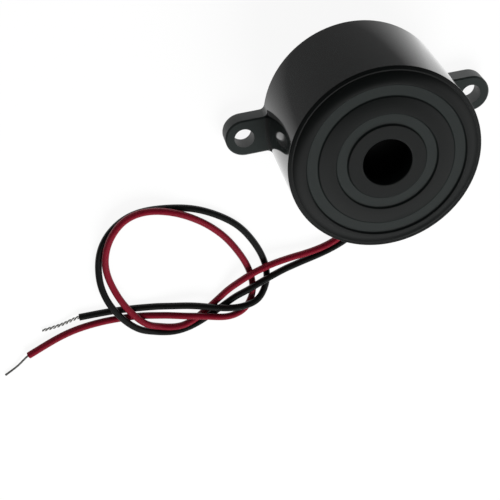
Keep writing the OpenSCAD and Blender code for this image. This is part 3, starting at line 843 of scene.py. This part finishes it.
def diode_glass():
    """Amber glass with the painted band."""
    material, tree, shader = start_material("diode_glass", IOR=1.52, Coat_Weight=1.0,
                                            Coat_Roughness=0.05)
    place = object_place(tree)
    skin = placed_group(tree, skin_group, Vector=place, Roughness=0.12, Cloud=0.05,
                        Grain_size=0.6, Color=(0.56, 0.21, 0.08, 1), Tone=0.5)
    along = node(tree, "ShaderNodeSeparateXYZ", {0: place}).outputs[0]
    mask = band_mask(tree, along, cathode_from, cathode_to, band_soft)
    colour = blend(tree, mask, skin["Color"], (0.01, 0.01, 0.01, 1))
    wear_skin(tree, shader, colour, skin["Roughness"], skin["Height"], 0.1)
    return material


paint("diode_body", diode_glass())
paint("diode_leads", tinned)


# ---------------------------------------------------------------------------
# Link wires and sealant: three thin wires in white PVC from the board up to the
# disc, and a dab of black silicone that closes the notch round the leads.
# ---------------------------------------------------------------------------
paint("disc_link_wires", dressed("link_insulation", skin_group, 0.3, IOR=1.52,
                                 Roughness=0.4, Cloud=0.1, Grain_size=0.2,
                                 Color=(0.7, 0.68, 0.62, 1), Tone=0.12))
paint("lead_seal", dressed("sealant", skin_group, 1.0, IOR=1.41, Roughness=0.32,
                           Cloud=0.2, Grain_size=0.9,
                           Color=(0.014, 0.014, 0.014, 1), Tone=0.4))


# ---------------------------------------------------------------------------
# Floor, backdrop and light: a sheet of white paper with a painted shadow in its gloss, a
# large soft lamp behind the buzzer, a weak one in front of it, and two pale panels behind,
# left and right.
# ---------------------------------------------------------------------------
def heading(azimuth, elevation):
    """The direction at an angle round the buzzer and an angle above the floor."""
    turn, lift = math.radians(azimuth), math.radians(elevation)
    return (math.cos(lift) * math.cos(turn), math.cos(lift) * math.sin(turn),
            math.sin(lift))


floor_size = 2.0
sheet_end = 90 * mm
sheet_fade = 50 * mm
# A painted shadow on the paper, seen only in gloss: where it starts, where it is full, and
# its tones.
lit_to = 5 * mm
painted_shadow_from = 15.5 * mm
lit_tone = 1.1
painted_shadow_tone = 0.2
bench_tone = 0.03
white_share = 0.92
# The direction towards the front, where the painted shadow lies.
front = heading(110, 0)


def floor_paper():
    """White paper. In the buzzer's gloss it darkens towards the front as a painted shadow,
    and ends far off.
    """
    material = bpy.data.materials.new("floor_paper")
    material.use_nodes = True
    tree = material.node_tree
    tree.nodes.clear()
    paths = node(tree, "ShaderNodeLightPath").outputs
    through = math_node(tree, "MAXIMUM", paths["Is Camera Ray"],
                        paths["Is Transmission Ray"])
    share = math_node(tree, "MAXIMUM", paths["Is Glossy Ray"],
                      math_node(tree, "MULTIPLY", through, white_share))
    place = object_place(tree)
    forward = vector_node(tree, "DOT_PRODUCT", place, front)
    away = vector_node(tree, "LENGTH", place)
    # Painted shadow: the glow seen in gloss falls to a darker tone towards the front,
    # standing for the buzzer's shadow.
    painted_shadow = map_range(tree, forward, lit_to, painted_shadow_from, lit_tone, painted_shadow_tone)
    far = map_range(tree, away, sheet_end - sheet_fade, sheet_end, 1, bench_tone)
    gloss_tone_with_painted_shadow = math_node(tree, "SUBTRACT", math_node(tree, "MULTIPLY", painted_shadow, far), 1.0)
    tone = math_node(tree, "MULTIPLY_ADD", paths["Is Glossy Ray"], gloss_tone_with_painted_shadow, 1.0)
    paper = node(tree, "ShaderNodeBsdfDiffuse", {"Color": (0.95, 0.95, 0.95, 1)})
    glow = node(tree, "ShaderNodeEmission", {"Color": (1, 1, 1, 1), "Strength": tone})
    mixed = node(tree, "ShaderNodeMixShader",
                 {0: share, 1: paper.outputs[0], 2: glow.outputs[0]})
    out = tree.nodes.new("ShaderNodeOutputMaterial")
    tree.links.new(mixed.outputs[0], out.inputs[0])
    return material


floor_mesh = bpy.data.meshes.new("floor")
half = floor_size / 2
floor_mesh.from_pydata([(-half, -half, 0), (half, -half, 0), (half, half, 0),
                        (-half, half, 0)], [], [(0, 1, 2, 3)])
floor = bpy.data.objects.new("floor", floor_mesh)
floor_mesh.materials.append(floor_paper())
bpy.context.scene.collection.objects.link(floor)

world = bpy.data.worlds.new("surround")
bpy.context.scene.world = world
world.use_nodes = True
room = world.node_tree
backdrop = room.nodes["Background"]
backdrop.inputs["Color"].default_value = (1, 1, 1, 1)
look = node(room, "ShaderNodeTexCoord").outputs["Generated"]
room_tone = 0.03
horizon_share = 0.3
full_height = 0.4


def panel(side, edge, full, strength):
    """A pale panel on one side: full in its middle and gone at its soft edge."""
    toward = vector_node(room, "DOT_PRODUCT", look, side)
    return map_range(room, toward, edge, full, 0, strength, "SMOOTHSTEP")


# The panels fade towards the horizon, so that the polished wall stays dark low down.
panels = math_node(room, "ADD",
                   panel(heading(250, 42), edge=0.7, full=0.98, strength=0.65),
                   panel(heading(335, 33), edge=0.75, full=0.95, strength=0.55))
height = node(room, "ShaderNodeSeparateXYZ", {0: look}).outputs["Z"]
above = map_range(room, height, 0, full_height, horizon_share, 1)
level = math_node(room, "MULTIPLY_ADD", panels, above, room_tone)
room.links.new(level, backdrop.inputs["Strength"])


lamp_aim = 10 * mm


def soft_lamp(name, side, distance, size, power):
    """A round soft lamp that is aimed at the buzzer and doesn't show in its gloss."""
    lamp = bpy.data.lights.new(name, "AREA")
    lamp.shape = "DISK"
    lamp.size = size
    lamp.energy = power
    holder = bpy.data.objects.new(name, lamp)
    aim = Vector((0, 0, lamp_aim))
    holder.location = Vector(side) * distance
    holder.rotation_euler = (aim - holder.location).to_track_quat("-Z", "Y").to_euler()
    holder.visible_glossy = False
    bpy.context.scene.collection.objects.link(holder)


soft_lamp("key_lamp", heading(288, 42), distance=0.62, size=0.45, power=5.5)
soft_lamp("fill_lamp", heading(114, 25), distance=0.6, size=0.5, power=0.9)

view_settings = bpy.context.scene.view_settings
view_settings.view_transform = "Standard"
